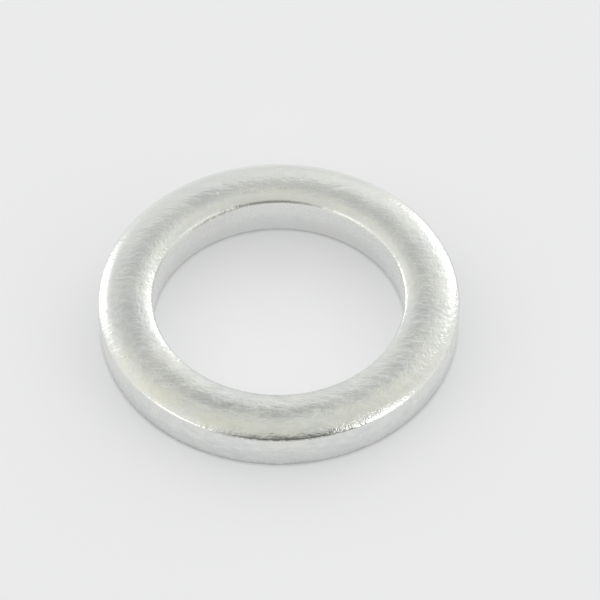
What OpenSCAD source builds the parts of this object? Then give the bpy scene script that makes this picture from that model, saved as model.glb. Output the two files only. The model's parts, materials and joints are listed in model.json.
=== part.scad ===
// Plain ring washer: a thick, narrow ring punched from steel, with a crowned upper face.
// Millimetres, +Z up. The origin is the centre of the flat underside.

/* [Ring] */
// Diameter over the straight part of the outer wall
outer_d = 39; // [34:0.5:60]
// Diameter of the straight part of the bore
bore_d = 27; // [8:0.5:29]
// Height from the flat underside to the crest of the upper face
thickness = 5.4; // [3.6:0.1:9]

/* [Upper face] */
// Rise of the crowned band along the middle of the face
crown_rise = 0.16; // [0.04:0.02:0.4]
// Width of the rolled-over band beside the outer wall
outer_roll_w = 1.45; // [0.8:0.05:2]
// Width of the rolled-over band beside the bore
bore_roll_w = 1.15; // [0.8:0.05:2]
// Slope of the outer rolled band where it meets its edge radius, in degrees
outer_roll_slope = 42; // [25:1:60]
// Slope of the bore's rolled band where it meets its edge radius, in degrees
bore_roll_slope = 24; // [18:1:60]
// Radius of the outer upper edge
outer_edge_r = 0.4; // [0.1:0.05:0.7]
// Radius of the bore's upper edge
bore_edge_r = 0.55; // [0.1:0.05:0.7]

/* [Walls] */
// Height of the broken-out lower zone of both walls
break_h = 2.6; // [0.8:0.1:3.2]
// Inward draw of the outer wall over its broken-out zone
outer_break = 0.2; // [0.05:0.05:0.4]
// Widening of the bore over its broken-out zone
bore_break = 0.2; // [0.05:0.05:0.4]
// Radius of the two lower edges
base_r = 0.25; // [0.05:0.05:0.4]

/* [Hidden] */
$fn = 180;
steel = [0.74, 0.74, 0.72];
outer_r = outer_d / 2;
bore_r = bore_d / 2;
ring_w = outer_r - bore_r;

// Bands of the face: a rolled band takes at most a third of the ring, an edge radius half of its band
outer_roll = min(outer_roll_w, ring_w / 3);
bore_roll = min(bore_roll_w, ring_w / 3);
outer_edge = min(outer_edge_r, outer_roll / 2);
bore_edge = min(bore_edge_r, bore_roll / 2);

// Crown: an arc over the band between the rolled ones, which never turns faster than they do
crown_half = (ring_w - outer_roll - bore_roll) / 2;
crown_slope = min(
    2 * atan(crown_rise / crown_half),
    crown_limit(outer_roll, outer_roll_slope),
    crown_limit(bore_roll, bore_roll_slope)
);
crown_r = crown_half / sin(crown_slope);
crest_r = bore_r + bore_roll + crown_half;

// Each further arc stands this much proud of its neighbour where they meet, so that the two join
proud = crown_r / 50000;

// Steepest end slope of the crown for which its radius stays larger than that of a rolled band
function crown_limit(band, slope) = asin(sin(slope) * crown_half / (crown_half + band));

// Radius of the arc that turns from the crown's slope to the roll slope within a rolled band
function roll_radius(band, edge, slope) =
    (band - edge * (1 - sin(slope))) / (sin(slope) - sin(crown_slope));

// Step from the centre of one arc to the centre of the next, tangent to it at a slope
function next_centre(r, next_r, slope) = (r - next_r) * [sin(slope), cos(slope)] + [0, proud];

// Centre of one side's rolled band and height of its edge's centre, in the section measured from the crest's foot
function roll_centre(band, edge, slope) =
    [0, thickness - crown_r] + next_centre(crown_r, roll_radius(band, edge, slope), crown_slope);
function edge_height(band, edge, slope) =
    roll_centre(band, edge, slope)[1] + next_centre(roll_radius(band, edge, slope), edge, slope)[1];
outer_top = edge_height(outer_roll, outer_edge, outer_roll_slope);
bore_top = edge_height(bore_roll, bore_edge, bore_roll_slope);

// Broken-out zone: at most three quarters of the lower wall
zone_h = min(break_h, 0.75 * min(outer_top, bore_top));

// Disc, kept only within an upright box
module disc_in_box(centre, r, low, size) {
    intersection() {
        translate(centre)
            circle(r = r);
        translate(low)
            square(size);
    }
}

// One side of the section, from the crest's foot to a wall: its straight parts and then its arcs
module side(band, edge, slope, foot_inset) {
    wall = crown_half + band;
    foot = wall - foot_inset;
    top = edge_height(band, edge, slope);
    roll_end = wall - edge * (1 - sin(slope));
    polygon([
        [0, 0],
        [foot - base_r, 0],
        [foot, base_r],
        [wall, zone_h],
        [wall, top],
        [0, top]
    ]);
    disc_in_box([foot - base_r, base_r], base_r, [foot - base_r, 0], [base_r, base_r]);
    disc_in_box(roll_centre(band, edge, slope), roll_radius(band, edge, slope), [0, zone_h], [roll_end, thickness]);
    disc_in_box([wall - edge, top], edge, [wall - edge, top], [edge, edge]);
}

// Section of the ring, in the plane of the axis
module section() {
    translate([crest_r, 0])
        union() {
            side(outer_roll, outer_edge, outer_roll_slope, outer_break);
            mirror([1, 0])
                side(bore_roll, bore_edge, bore_roll_slope, bore_break);
            disc_in_box([0, thickness - crown_r], crown_r, [-crown_half, zone_h], [2 * crown_half, thickness]);
        }
}

module washer() {
    color(steel)
        rotate_extrude()
            section();
}

washer();
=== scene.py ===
"""Looks of the ring washer: a finely meshed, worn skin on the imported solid, its metal, and a plain studio.

Places round the ring are in degrees from +X, seen from above: 0 is the right, 90 the back, 180 the left, 270 the front.
"""

import json
import math

import bpy
import numpy as np
from mathutils import Matrix, Quaternion, Vector


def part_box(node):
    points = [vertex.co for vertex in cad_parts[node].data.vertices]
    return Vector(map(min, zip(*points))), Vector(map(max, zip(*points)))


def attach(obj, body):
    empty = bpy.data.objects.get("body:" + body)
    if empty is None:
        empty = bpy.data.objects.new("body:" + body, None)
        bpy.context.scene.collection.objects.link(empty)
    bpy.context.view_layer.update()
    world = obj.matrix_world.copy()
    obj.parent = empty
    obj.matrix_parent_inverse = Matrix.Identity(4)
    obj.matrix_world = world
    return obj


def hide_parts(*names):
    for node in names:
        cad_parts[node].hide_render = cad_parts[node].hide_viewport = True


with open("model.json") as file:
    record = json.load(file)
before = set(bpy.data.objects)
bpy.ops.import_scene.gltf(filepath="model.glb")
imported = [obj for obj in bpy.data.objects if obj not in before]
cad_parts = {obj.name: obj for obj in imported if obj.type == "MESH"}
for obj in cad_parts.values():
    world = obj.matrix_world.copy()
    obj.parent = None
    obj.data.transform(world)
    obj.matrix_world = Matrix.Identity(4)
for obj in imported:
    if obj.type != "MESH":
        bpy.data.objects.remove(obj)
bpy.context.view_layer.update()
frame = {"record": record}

MM = 0.001
NODE = "washer"

# Sizes of the solid, in mm: the overall ones from the frame, the arcs of its section as in the part's source
low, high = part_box(NODE)
bore_mount = next(m for m in frame["record"]["mounts"] if m["name"] == "bore")
OUTER_R = (high.x - low.x) / 2 / MM
HEIGHT = high.z / MM
BORE_R = bore_mount["dims"]["r_mm"]
CROWN_RISE = 0.16
OUTER_BAND = 1.45
BORE_BAND = 1.15
OUTER_SLOPE = math.radians(42)
BORE_SLOPE = math.radians(24)
OUTER_EDGE_R = 0.4
BORE_EDGE_R = 0.55
BREAK_H = 2.6
BREAK_IN = 0.2
BASE_R = 0.25
CROWN_HALF = (OUTER_R - BORE_R - OUTER_BAND - BORE_BAND) / 2
CREST_R = BORE_R + BORE_BAND + CROWN_HALF


# Section of the ring

def arc(centre, radius, start, end, points):
    """Points on an arc, by angle from straight up, towards the outer wall; the last one is left out."""
    a = np.linspace(start, end, points, endpoint=False)
    return np.stack([centre[0] + radius * np.sin(a), centre[1] + radius * np.cos(a)], 1)


def line(start, end, points):
    """Points on a straight line; the last one is left out."""
    t = np.linspace(0, 1, points, endpoint=False)[:, None]
    return np.array(start) * (1 - t) + np.array(end) * t


def half_outline(band, edge_r, roll_slope):
    """Outline from the middle of the underside to the crest, measured from the crest outwards, and the wall's top."""
    crown_slope = 2 * math.atan(CROWN_RISE / CROWN_HALF)
    crown_r = CROWN_HALF / math.sin(crown_slope)
    turn = math.sin(roll_slope) - math.sin(crown_slope)
    roll_r = (band - edge_r * (1 - math.sin(roll_slope))) / turn
    crown_c = np.array([0, HEIGHT - crown_r])
    roll_c = crown_c + (crown_r - roll_r) * np.array([math.sin(crown_slope), math.cos(crown_slope)])
    edge_c = roll_c + (roll_r - edge_r) * np.array([math.sin(roll_slope), math.cos(roll_slope)])
    wall = CROWN_HALF + band
    foot = wall - BREAK_IN
    pieces = [
        line((0, 0), (foot - BASE_R, 0), 2),
        arc((foot - BASE_R, BASE_R), BASE_R, math.pi, math.pi / 2, 4),
        line((foot, BASE_R), (wall, BREAK_H), 6),
        line((wall, BREAK_H), (wall, edge_c[1]), 4),
        arc(edge_c, edge_r, math.pi / 2, roll_slope, 8),
        arc(roll_c, roll_r, roll_slope, crown_slope, 13),
        arc(crown_c, crown_r, crown_slope, 0, 9),
    ]
    return np.concatenate(pieces), edge_c[1]


outer_half, outer_top = half_outline(OUTER_BAND, OUTER_EDGE_R, OUTER_SLOPE)
bore_half, bore_top = half_outline(BORE_BAND, BORE_EDGE_R, BORE_SLOPE)
crest = np.array([[0, HEIGHT]])
outline = np.concatenate([outer_half, crest, bore_half[:0:-1] * [-1, 1]])
outline[:, 0] += CREST_R


# Skin: the section turned round the axis, with the small marks that a punched and tumbled part has.
# Its arrays have a row for each point of the section and a column for each turn.

TURNS = 1080
FACE_FADE = 0.25
UNEVEN_DEEP = 0.012
TORN_DEEP = 0.012
EDGE_NICKS = 240
FACE_DENTS = 160
SCRATCH_HALF_W = 0.22
BARE_DEEP = 0.012
EDGE_SLACK = 0.01

count = len(outline)
phi = np.linspace(0, 2 * math.pi, TURNS, endpoint=False)
deg = np.degrees(phi)
rng = np.random.default_rng(7)

along = np.roll(outline, -1, 0) - np.roll(outline, 1, 0)
along /= np.linalg.norm(along, axis=1, keepdims=True)
normal_r, normal_z = along[:, 1:2], -along[:, 0:1]
slope = np.degrees(np.arctan2(normal_r, normal_z))
r, z = outline[:, 0:1], outline[:, 1:2]

outer_side = r > CREST_R
wall_top = np.where(outer_side, outer_top, bore_top)
face = np.clip((z - wall_top) / FACE_FADE, 0, 1)
on_wall = (np.abs(normal_r) > 0.9).astype(float)


def waves(terms, low_n, high_n, seed):
    """A smooth periodic unevenness round the ring, from -1 to 1."""
    pick = np.random.default_rng(seed)
    total = np.zeros(TURNS)
    for _ in range(terms):
        total += np.sin(pick.integers(low_n, high_n) * phi + pick.uniform(0, 2 * math.pi))
    return total / np.abs(total).max()


def stretch(start, end, fade_in, fade_out):
    """1 along a stretch of the ring, with faded ends within it."""
    place = (deg - start) % 360
    return np.clip(place / fade_in, 0, 1) * np.clip(((end - start) - place) / fade_out, 0, 1)


def slopes(middle, half):
    """1 on the upper surface with the middle slope (below 0 towards the bore), falling to 0 half a span away."""
    return np.clip(1 - ((slope - middle) / half) ** 2, 0, 1) * (z > BREAK_H)


def side(middle):
    """1 at a place round the ring, falling to 0 a quarter turn away."""
    return np.clip(np.cos(phi - math.radians(middle)), 0, 1)


# Depth of the skin below the solid's surface, in mm
depth = np.zeros((count, TURNS))

# Face: gently uneven, as rolled over by the punch
uneven = np.zeros((count, TURNS))
for _ in range(12):
    waves_round = rng.integers(5, 42)
    across = rng.uniform(-1.4, 1.4)
    uneven += np.sin(waves_round * phi[None, :] + across * (r - CREST_R) + rng.uniform(0, 2 * math.pi))
uneven /= np.abs(uneven).max()
depth += face * UNEVEN_DEEP * (1 + uneven) / 2

# Broken-out zone: its upper limit wanders, and it is torn in upright streaks
limit = BREAK_H - 0.1 + 0.3 * waves(14, 6, 60, 11)
torn = np.clip((limit[None, :] - z) / 1.1, 0, 1) * on_wall * np.clip((z - 0.2) / 0.3, 0, 1)
streaks = 0.6 * waves(60, 40, 230, 12) + 0.4 * waves(40, 120, 300, 13)
depth += torn * TORN_DEEP * (1 + streaks[None, :]) / 2


def dent(turn_deg, at_r, at_z, half_round, half_across, deep):
    """A small dent: its place round the ring, its radius and height, its half sizes and its depth."""
    turn = (deg[None, :] - turn_deg + 180) % 360 - 180
    u = np.radians(turn) * at_r / half_round
    v = np.hypot(r - at_r, z - at_z) / half_across
    return deep * np.clip(1 - u * u - v * v, 0, 1) ** 1.5


def scratch(start, end, deep):
    """A straight, shallow scratch across the face, between two points in plan."""
    x, y = r * np.cos(phi), r * np.sin(phi)
    run = np.subtract(end, start)
    share = np.clip(((x - start[0]) * run[0] + (y - start[1]) * run[1]) / (run @ run), 0, 1)
    off = np.hypot(x - start[0] - share * run[0], y - start[1] - share * run[1]) / SCRATCH_HALF_W
    return deep * np.clip(1 - off * off, 0, 1) * face


def edge_point(outer, share):
    """Radius and height of a point on an upper edge, from its wall (0) to its rolled band (1)."""
    a = math.radians(90 - 60 * share)
    if outer:
        return OUTER_R - OUTER_EDGE_R * (1 - math.sin(a)), outer_top + OUTER_EDGE_R * math.cos(a)
    return BORE_R + BORE_EDGE_R * (1 - math.sin(a)), bore_top + BORE_EDGE_R * math.cos(a)


def face_height(at_r):
    """Height of the upper face at a radius."""
    rows = np.flatnonzero(outline[:, 1] >= outer_top)
    return outline[rows[np.argmin(np.abs(outline[rows, 0] - at_r))], 1]


# Small nicks along both upper edges and small dents on the face
marks = np.zeros((count, TURNS))
for _ in range(EDGE_NICKS):
    outer = rng.random() < 0.6
    at_r, at_z = edge_point(outer, rng.uniform(0.1, 1.3))
    marks = np.maximum(marks, dent(rng.uniform(0, 360), at_r, at_z, rng.uniform(0.15, 0.4),
                                   rng.uniform(0.12, 0.25), rng.uniform(0.003, 0.013)))
for _ in range(FACE_DENTS):
    at_r = rng.uniform(BORE_R + 0.8, OUTER_R - 0.8)
    marks = np.maximum(marks, dent(rng.uniform(0, 360), at_r, face_height(at_r), rng.uniform(0.15, 0.35),
                                   rng.uniform(0.15, 0.3), rng.uniform(0.003, 0.012)))

# Larger marks that the photograph shows: place round the ring, radius, half sizes and depth
for turn_deg, at_r, half_round, half_across, deep in (
        # front right: outer roll and face
        (-83.1, 19.0, 0.25, 0.25, 0.022), (-85.8, 19.0, 0.2, 0.2, 0.014), (-79.5, 18.85, 0.25, 0.25, 0.018),
        (-76.4, 18.8, 0.3, 0.25, 0.022), (-73.6, 18.7, 0.25, 0.25, 0.016), (-76.2, 17.0, 0.22, 0.22, 0.016),
        (-72.9, 17.0, 0.22, 0.22, 0.016), (-40.2, 18.3, 0.3, 0.3, 0.016),
        # back left: face, then the bore's edge
        (111.6, 17.1, 0.22, 0.22, 0.040), (100.2, 15.1, 0.22, 0.22, 0.030), (114.6, 15.9, 0.14, 0.45, 0.040),
        (135.0, 13.65, 0.3, 0.25, 0.022), (131.5, 13.7, 0.25, 0.25, 0.018), (128.7, 13.7, 0.25, 0.25, 0.022),
        (125.8, 13.7, 0.2, 0.25, 0.016), (123.3, 13.7, 0.25, 0.25, 0.020), (120.3, 13.7, 0.2, 0.2, 0.016)):
    marks = np.maximum(marks, dent(turn_deg, at_r, face_height(at_r), half_round, half_across, deep))
for start, end, deep in (
        ((4.3, 14.8), (7.9, 15.4), 0.020), ((-17.7, 2.5), (-15.9, 2.6), 0.016), ((-4.0, 14.6), (-2.2, 14.8), 0.016)):
    marks = np.maximum(marks, scratch(start, end, deep))

# Bore edge nicked in a close row at the back left
for turn_deg in np.arange(104, 142, 1.1):
    at_r, at_z = edge_point(False, rng.uniform(0.3, 0.9))
    marks = np.maximum(marks, dent(turn_deg + rng.uniform(-0.4, 0.4), at_r, at_z, rng.uniform(0.10, 0.18),
                                   rng.uniform(0.14, 0.22), rng.uniform(0.008, 0.026)))
depth += marks

# Outer edge worn to a narrow bevel over a stretch at the front right
depth += slopes(50, 26) * stretch(288, 326, 6, 14) * (0.030 + 0.012 * waves(40, 60, 260, 14))

# Rolled over a little deeper in places: the bore on the left, the outer edge at the front right
over_bore_edge, over_outer_edge = z > bore_top - EDGE_SLACK, z > outer_top - EDGE_SLACK
near_bore = np.clip((BORE_R + 1.3 - r) / 1.3, 0, 1)
near_outer = np.clip((r - OUTER_R + 2.8) / 2.8, 0, 1)
sunk = 0.15 * side(160) * near_bore ** 2 * over_bore_edge
sunk += 0.075 * side(-40) * near_outer ** 2 * over_outer_edge

# Face leaning outwards a little, most at the back left, so that its crest lies nearer the bore there
lean = np.clip((r - BORE_R - 0.9) / 4.0, 0, 1)
lean_deep = 0.065 + 0.035 * np.cos(phi - math.radians(135))
sunk += lean_deep * lean * lean * (3 - 2 * lean) * over_outer_edge

points_r = r - depth * normal_r
points_z = np.maximum(z - depth * normal_z - sunk, 0)
verts = np.stack([points_r * np.cos(phi), points_r * np.sin(phi), points_z], -1).reshape(-1, 3) * MM

i, j = np.meshgrid(np.arange(count), np.arange(TURNS), indexing="ij")
i2, j2 = (i + 1) % count, (j + 1) % TURNS
quads = np.stack([i * TURNS + j, i * TURNS + j2, i2 * TURNS + j2, i2 * TURNS + j], -1).reshape(-1, 4)

mesh = bpy.data.meshes.new("washer_skin")
mesh.from_pydata(verts.tolist(), [], quads.tolist())
mesh.shade_smooth()


def add_attribute(name, values):
    """Stores one number per vertex, for the material."""
    data = mesh.attributes.new(name, "FLOAT", "POINT").data
    data.foreach_set("value", np.broadcast_to(values, (count, TURNS)).astype(np.float32).ravel())


bore_edge = slopes(-62, 30)
# Painted shade in the colour: dark lines along the bore's upper edge at the front and, stronger, at the back left,
# along the outer edge at the front, and a darker band at the outer wall's foot
bore_edge_shade = 0.34 * bore_edge * stretch(195, 320, 20, 50) + 0.55 * slopes(-66, 26) * stretch(106, 140, 10, 14)
crease_shade = 0.6 * slopes(77, 20) * (z > outer_top + 0.005) * stretch(243, 302, 10, 12)
foot_shade = np.clip(1 - z / 0.8, 0, 1) * (z > 0.02) * outer_side * (0.22 + 0.18 * stretch(200, 300, 20, 20))
face_band = np.clip(1 - ((r - 16.5) / 0.8) ** 2, 0, 1) * (z > outer_top)

add_attribute("face", face)
add_attribute("edge", slopes(62, 30) + bore_edge)
add_attribute("burr", bore_edge * (0.6 * stretch(20, 160, 15, 10) + 0.4 * stretch(108, 160, 15, 10)))
add_attribute("painted_shade", bore_edge_shade + crease_shade + foot_shade)
add_attribute("pitted", slopes(28, 26) * stretch(310, 412, 20, 30) + slopes(-28, 26) * stretch(130, 212, 20, 25))
add_attribute("chipped", slopes(32, 15) * stretch(283, 318, 5, 14))
# Darker, blotchy band along the crest at the front
add_attribute("crest_darkening", face_band * stretch(220, 306, 25, 25))
# Painted warm reflection: a yellowish tint on the outer rolled band at the front left and front right
add_attribute("painted_warm_reflection", slopes(28, 24) * stretch(198, 275, 20, 25)
              + 0.6 * slopes(20, 20) * stretch(285, 345, 20, 20))
add_attribute("torn", torn)
add_attribute("burnished", on_wall * ~outer_side * (0.55 + 0.45 * np.clip((z - limit) / 0.6, 0, 1)))
add_attribute("wear", np.clip(marks / BARE_DEEP, 0, 1))
mesh.update()
skin = bpy.data.objects.new("washer_skin", mesh)
bpy.context.scene.collection.objects.link(skin)


# Metal

COOL_ZINC = (0.840, 0.855, 0.860, 1)
PALE_ZINC = (0.890, 0.890, 0.862, 1)
EDGE_ZINC = (0.89, 0.88, 0.82, 1)
# Tint of the painted warm reflection
WARM_REFLECTION_TINT = (0.865, 0.855, 0.775, 1)
TORN_STEEL = (0.74, 0.745, 0.755, 1)
BURNISHED_STEEL = (0.945, 0.95, 0.94, 1)
NICKED_STEEL = (0.93, 0.93, 0.92, 1)
# Colour of the painted shade
PAINTED_SHADE_COLOUR = (0.30, 0.29, 0.26, 1)
BUMP_HEIGHT = 0.02 * MM


class Nodes:
    """Short ways to add and link shader nodes."""

    def __init__(self, tree):
        self.tree = tree
        tree.nodes.clear()

    def add(self, kind, inputs=None, **settings):
        node = self.tree.nodes.new(kind)
        for name, value in settings.items():
            setattr(node, name, value)
        for key, value in (inputs or {}).items():
            self.put(node.inputs[key], value)
        return node

    def put(self, socket, value):
        if isinstance(value, bpy.types.NodeSocket):
            self.tree.links.new(value, socket)
        else:
            socket.default_value = value

    def math(self, operation, a, b):
        return self.add("ShaderNodeMath", {0: a, 1: b}, operation=operation).outputs[0]

    def times(self, a, b):
        return self.math("MULTIPLY", a, b)

    def weighted(self, *terms):
        """Sum of values, each times its weight."""
        total = None
        for value, weight in terms:
            scaled = self.times(value, weight)
            total = scaled if total is None else self.math("ADD", total, scaled)
        return total

    def stretched_noise(self, vector, scale, detail, rough=0.5):
        """Noise whose grain is drawn out: scale gives its density along each axis, per mm."""
        spread = self.add("ShaderNodeVectorMath", {0: vector, 1: scale}, operation="MULTIPLY").outputs[0]
        settings = {"Vector": spread, "Scale": 1.0, "Detail": detail, "Roughness": rough}
        return self.add("ShaderNodeTexNoise", settings).outputs["Fac"]

    def span(self, value, low_in, high_in, low_out, high_out):
        """Value brought from one span to another, and kept within it."""
        settings = {0: value, 1: low_in, 2: high_in, 3: low_out, 4: high_out}
        return self.add("ShaderNodeMapRange", settings).outputs[0]

    def ramp(self, value, first, *middle, last):
        """Colour by value, through stops of position and colour."""
        node = self.add("ShaderNodeValToRGB", {"Fac": value})
        stops = node.color_ramp.elements
        stops[0].position, stops[0].color = first
        stops[1].position, stops[1].color = last
        for position, colour in middle:
            stops.new(position).color = colour
        return node.outputs[0]

    def blend(self, factor, a, b):
        return self.add("ShaderNodeMix", {0: factor, 6: a, 7: b}, data_type="RGBA").outputs[2]

    def attribute(self, name):
        return self.add("ShaderNodeAttribute", attribute_name=name).outputs["Fac"]


def make_metal():
    """Tumbled, zinc-plated steel: a straight grain and stipple on the face, torn lower walls, bright nicks, painted
    shade and a painted warm reflection.
    """
    material = bpy.data.materials.new("zinc_plated_steel")
    material.use_nodes = True
    n = Nodes(material.node_tree)
    out = n.add("ShaderNodeOutputMaterial")
    shader = n.add("ShaderNodeBsdfPrincipled", {"Metallic": 1.0})
    n.tree.links.new(shader.outputs[0], out.inputs[0])

    place = n.add("ShaderNodeTexCoord").outputs["Object"]
    in_mm = n.add("ShaderNodeVectorMath", {0: place, "Scale": 1 / MM}, operation="SCALE").outputs[0]
    towards_back = n.add("ShaderNodeSeparateXYZ", {0: in_mm}).outputs[1]
    face_part, torn_part, wear_part = n.attribute("face"), n.attribute("torn"), n.attribute("wear")
    edge_part = n.attribute("edge")

    grain = n.stretched_noise(in_mm, (0.7, 4.5, 2.0), 3.0, 0.6)
    lines = n.stretched_noise(in_mm, (0.3, 6.5, 3.0), 1.0)
    stipple = n.stretched_noise(in_mm, (3.4, 3.4, 3.4), 3.0, 0.6)
    upright = n.stretched_noise(in_mm, (4.0, 4.0, 0.7), 3.0, 0.6)
    smudges = n.stretched_noise(in_mm, (1.0, 1.5, 1.2), 3.0, 0.55)
    clouds = n.stretched_noise(in_mm, (0.25, 0.25, 0.25), 3.0, 0.55)
    blotches = n.stretched_noise(in_mm, (0.7, 1.1, 1.4), 3.0, 0.6)
    pits = n.stretched_noise(in_mm, (3.2, 2.0, 2.4), 2.0)
    chips = n.stretched_noise(in_mm, (4.5, 4.5, 4.5), 2.0, 0.6)
    specks = n.stretched_noise(in_mm, (2.6, 2.6, 2.6), 2.0)
    patches = n.span(n.stretched_noise(in_mm, (0.35, 0.35, 0.35), 1.0), 0.4, 0.65, 0.4, 1.3)

    # Relief: stronger towards the front
    scored = n.span(lines, 0.60, 0.72, 0.0, 1.0)
    grain_kept = n.span(towards_back, -6.0, 12.0, 1.0, 0.55)
    brushed = n.times(n.weighted((grain, 0.21), (scored, -0.26)), grain_kept)
    mottled = n.times(smudges, n.span(towards_back, -14.0, 10.0, 3.3, 1.9))
    streaked = n.times(upright, n.times(torn_part, grain_kept))
    on_face = n.weighted((brushed, 1.0), (mottled, 1.0), (n.times(stipple, patches), 0.9),
                         (n.times(pits, n.attribute("pitted")), 4.0),
                         (n.times(chips, n.attribute("chipped")), 5.0))
    on_walls = n.weighted((stipple, 0.15), (mottled, 0.95), (streaked, 0.6))
    height = n.weighted((on_face, face_part), (on_walls, n.math("SUBTRACT", 1.0, face_part)))
    bump = n.add("ShaderNodeBump", {"Strength": 1.0, "Distance": BUMP_HEIGHT, "Height": height})
    n.put(shader.inputs["Normal"], bump.outputs[0])

    # Colour: zinc in soft blotches, then what each place of the ring adds to it
    tint = n.ramp(clouds, (0.32, COOL_ZINC), last=(0.68, PALE_ZINC))
    tone = n.times(n.math("SUBTRACT", blotches, 0.5), n.span(towards_back, -14.0, 8.0, 0.32, 0.12))
    # Darker, blotchy band along the crest at the front
    crest_darkened = n.times(n.attribute("crest_darkening"), n.span(blotches, 0.35, 0.65, 0.18, 0.03))
    tone = n.math("SUBTRACT", n.math("ADD", tone, 1.0), crest_darkened)
    colour = n.add("ShaderNodeVectorMath", {0: tint, "Scale": tone}, operation="SCALE").outputs[0]
    # Painted warm reflection, in blotches
    warm_reflection_share = n.times(n.attribute("painted_warm_reflection"), n.span(clouds, 0.35, 0.60, 0.15, 0.75))
    # Painted shade on the bore's edge, the front outer edge and the outer wall's foot, broken into specks
    shade_share = n.times(n.attribute("painted_shade"), n.span(specks, 0.52, 0.62, 1.0, 0.1))
    for share, added in ((n.times(torn_part, 0.38), TORN_STEEL),
                         (n.times(n.attribute("burnished"), 0.65), BURNISHED_STEEL),
                         (n.times(wear_part, 0.4), NICKED_STEEL),
                         (n.times(edge_part, 0.6), EDGE_ZINC),
                         (warm_reflection_share, WARM_REFLECTION_TINT),
                         (shade_share, PAINTED_SHADE_COLOUR)):
        colour = n.blend(share, colour, added)
    n.put(shader.inputs["Base Color"], colour)

    rough = n.weighted((n.span(clouds, 0.3, 0.7, 0.23, 0.29), 1.0), (n.math("SUBTRACT", grain, 0.5), 0.12),
                       (torn_part, 0.10), (wear_part, -0.03), (edge_part, -0.08), (n.attribute("burr"), 0.34))
    n.put(shader.inputs["Roughness"], rough)
    return material


mesh.materials.append(make_metal())
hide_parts(NODE)
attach(skin, "root")


# Studio: pale floor, soft surroundings that are darker behind the camera, and lamps round the part

FLOOR_HALF = 2.0
FLOOR_BELOW = 0.03 * MM
PAPER = (0.52, 0.52, 0.525, 1)
PAPER_GLOW = (0.99, 1.0, 1.02, 1)
TO_BACK_LIGHT = (0.0, 0.85, 0.53)

SKY_LOW = (0.87, 0.88, 0.87, 1)
SKY_MIDDLE = (0.845, 0.855, 0.82, 1)
SKY_TOP = (0.68, 0.685, 0.62, 1)
SKY_SPOT = (0.79, 0.80, 0.785, 1)

# Directions in which the surroundings are lighter or darker: azimuth, elevation, inner and outer angle, change
SKY_CHANGES = (
    (26, 41, 4, 27, 0.15),
    (175, 58, 8, 34, -0.10),
    (-2, 12, 6, 30, -0.13),
    (84, 42, 6, 32, -0.09),
    (-30, 34, 4, 17, -0.10),
)

# Soft boxes: azimuth, elevation, width, height and tilt in degrees as seen from the part, and radiance
LAMP_DISTANCE = 0.25
LAMPS = {
    "lamp_back_left": (-49, 15, 24, 28, 0, 1.1),
    "lamp_back_right": (37, 17, 26, 30, 0, 1.0),
    "lamp_front_left": (-125, 14, 24, 20, 0, 1.2),
    "lamp_front_right": (127, 19, 27, 17, -32, 2.0),
}


def make_floor():
    """Pale paper whose glow is darker in front of the walls, a painted shadow with a painted contact shadow at their
    foot, and lighter in the bore, painted bounce light where the metal throws light back onto it.
    """
    floor_mesh = bpy.data.meshes.new("floor")
    corners = [(x * FLOOR_HALF, y * FLOOR_HALF, -FLOOR_BELOW) for x, y in ((-1, -1), (1, -1), (1, 1), (-1, 1))]
    floor_mesh.from_pydata(corners, [], [(0, 1, 2, 3)])
    material = bpy.data.materials.new("floor")
    material.use_nodes = True
    n = Nodes(material.node_tree)
    out = n.add("ShaderNodeOutputMaterial")
    paper = n.add("ShaderNodeBsdfDiffuse", {"Color": PAPER})

    rays = n.add("ShaderNodeLightPath").outputs
    seen = n.math("MAXIMUM", rays["Is Glossy Ray"], rays["Is Transmission Ray"])
    seen = n.math("MAXIMUM", rays["Is Camera Ray"], seen)

    def openness(distance, **settings):
        """1 where nothing is near the floor, falling to 0 where all is closed in within a distance in mm."""
        inputs = {"Distance": distance * MM, **settings}
        return n.add("ShaderNodeAmbientOcclusion", inputs, samples=16).outputs["AO"]

    # Painted shade in the glow: a contact shadow at the walls' foot and a shadow towards the front, from occlusion
    painted_contact_shadow = n.span(openness(0.35), 0.0, 1.0, 0.40, 1.0)
    painted_front_shadow = n.span(openness(9.0, Normal=TO_BACK_LIGHT), 0.35, 1.0, 0.352, 0.425)
    place = n.add("ShaderNodeTexCoord").outputs["Object"]
    from_axis = n.add("ShaderNodeVectorMath", {0: place}, operation="LENGTH").outputs["Value"]
    towards_back = n.add("ShaderNodeSeparateXYZ", {0: place}).outputs[1]
    # Painted light in the glow: lighter at the front of the bore, darker at its back
    in_bore = n.span(from_axis, BORE_R * MM, OUTER_R * MM, 1.0, 0.0)
    painted_bounce_light = n.times(in_bore, n.span(towards_back, -8.0 * MM, 9.0 * MM, 0.14, -0.055))
    kept = n.times(n.times(painted_contact_shadow, painted_front_shadow), n.math("ADD", painted_bounce_light, 1.0))

    glow = n.add("ShaderNodeEmission", {"Color": PAPER_GLOW, "Strength": n.times(seen, kept)})
    both = n.add("ShaderNodeAddShader", {0: paper.outputs[0], 1: glow.outputs[0]})
    n.tree.links.new(both.outputs[0], out.inputs[0])
    floor_mesh.materials.append(material)
    floor = bpy.data.objects.new("floor", floor_mesh)
    bpy.context.scene.collection.objects.link(floor)


def direction(azimuth, elevation):
    """Unit vector by degrees from straight back (+Y) towards the right (+X), and above the floor."""
    a, e = math.radians(azimuth), math.radians(elevation)
    return Vector((math.sin(a) * math.cos(e), math.cos(a) * math.cos(e), math.sin(e)))


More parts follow.
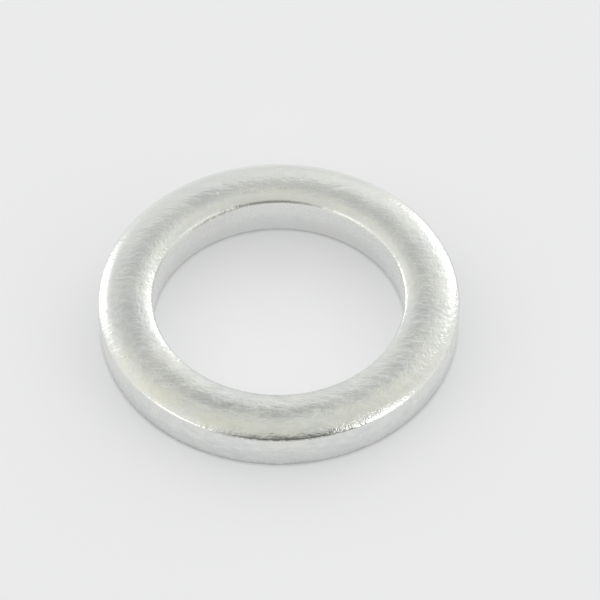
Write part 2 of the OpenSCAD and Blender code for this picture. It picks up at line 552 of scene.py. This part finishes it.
def make_world():
    """Soft surroundings, with a darker spot high at the back and a dark side behind the camera."""
    world = bpy.data.worlds.new("studio")
    world.use_nodes = True
    bpy.context.scene.world = world
    n = Nodes(world.node_tree)
    out = n.add("ShaderNodeOutputWorld")
    background = n.add("ShaderNodeBackground")
    n.tree.links.new(background.outputs[0], out.inputs[0])
    ray = n.add("ShaderNodeTexCoord").outputs["Generated"]
    ray = n.add("ShaderNodeVectorMath", {0: ray}, operation="NORMALIZE").outputs[0]

    def lobe(azimuth, elevation, inner, outer):
        """1 within the inner angle of a direction, falling smoothly to 0 at the outer one."""
        dot = n.add("ShaderNodeVectorMath", {0: ray, 1: direction(azimuth, elevation)}, operation="DOT_PRODUCT")
        fade = {0: dot.outputs["Value"], 1: math.cos(math.radians(outer)), 2: math.cos(math.radians(inner)),
                3: 0.0, 4: 1.0}
        return n.add("ShaderNodeMapRange", fade, interpolation_type="SMOOTHSTEP").outputs[0]

    up = n.add("ShaderNodeSeparateXYZ", {0: ray}).outputs[2]
    sky = n.ramp(up, (0.0, SKY_LOW), (0.7, SKY_MIDDLE), last=(1.0, SKY_TOP))
    spot = n.weighted((lobe(-12, 53, 3, 17), 0.5), (lobe(6, 53, 3, 17), 0.5))
    changes = [(lobe(*place), change) for *place, change in SKY_CHANGES]
    level = n.math("ADD", n.weighted((spot, -0.53), *changes), 1.0)
    behind_camera = n.times(lobe(174, 16, 18, 51), 0.84)
    level = n.times(level, n.math("SUBTRACT", 1.0, behind_camera))
    n.put(background.inputs["Color"], n.blend(spot, sky, SKY_SPOT))
    n.put(background.inputs["Strength"], level)


def make_lamp(name, azimuth, elevation, width_deg, height_deg, tilt_deg, radiance):
    """A soft box that fills the given angles as seen from the part, tilted about the line to it."""
    lamp = bpy.data.lights.new(name, "AREA")
    lamp.shape = "RECTANGLE"
    lamp.size = 2 * LAMP_DISTANCE * math.tan(math.radians(width_deg / 2))
    lamp.size_y = 2 * LAMP_DISTANCE * math.tan(math.radians(height_deg / 2))
    lamp.energy = radiance * math.pi * lamp.size * lamp.size_y
    towards = direction(azimuth, elevation)
    tilt = Quaternion((0, 0, 1), math.radians(tilt_deg))
    box = bpy.data.objects.new(name, lamp)
    box.location = towards * LAMP_DISTANCE
    box.rotation_mode = "QUATERNION"
    box.rotation_quaternion = towards.to_track_quat("Z", "Y") @ tilt
    box.visible_camera = False
    bpy.context.scene.collection.objects.link(box)


make_floor()
make_world()
for lamp_name, lamp_setting in LAMPS.items():
    make_lamp(lamp_name, *lamp_setting)


# Camera: place and aim found from the ring's outlines in the photograph

CAM_ELEVATION = math.radians(50.1793)
CAM_DISTANCE = 27.0153 * OUTER_R * MM
CAM_FOCUS_PX = 4857.85
CAM_YAW, CAM_PITCH, CAM_ROLL = (math.radians(a) for a in (-0.2491, -0.2955, -0.2388))
IMAGE_PX = 600
SENSOR_MM = 36

camera_data = bpy.data.cameras.new("camera")
camera_data.sensor_width = SENSOR_MM
camera_data.lens = CAM_FOCUS_PX / IMAGE_PX * SENSOR_MM
camera_data.clip_start, camera_data.clip_end = 0.01, 20
camera = bpy.data.objects.new("camera", camera_data)
bpy.context.scene.collection.objects.link(camera)

# Rows of the aim: the image's right, its down and the depth
back = Vector((0, -math.cos(CAM_ELEVATION), math.sin(CAM_ELEVATION)))
down = -Vector((0, math.sin(CAM_ELEVATION), math.cos(CAM_ELEVATION)))
level_view = Matrix(((1, 0, 0), down, -back))
turns = Matrix.Rotation(CAM_ROLL, 3, "Z") @ Matrix.Rotation(CAM_PITCH, 3, "X") @ Matrix.Rotation(CAM_YAW, 3, "Y")
aim = turns @ level_view
axes = Matrix((aim[0], -aim[1], -aim[2])).transposed()
camera.matrix_world = Matrix.Translation(back * CAM_DISTANCE) @ axes.to_4x4()
bpy.context.scene.camera = camera
bpy.context.scene.view_settings.view_transform = "Standard"
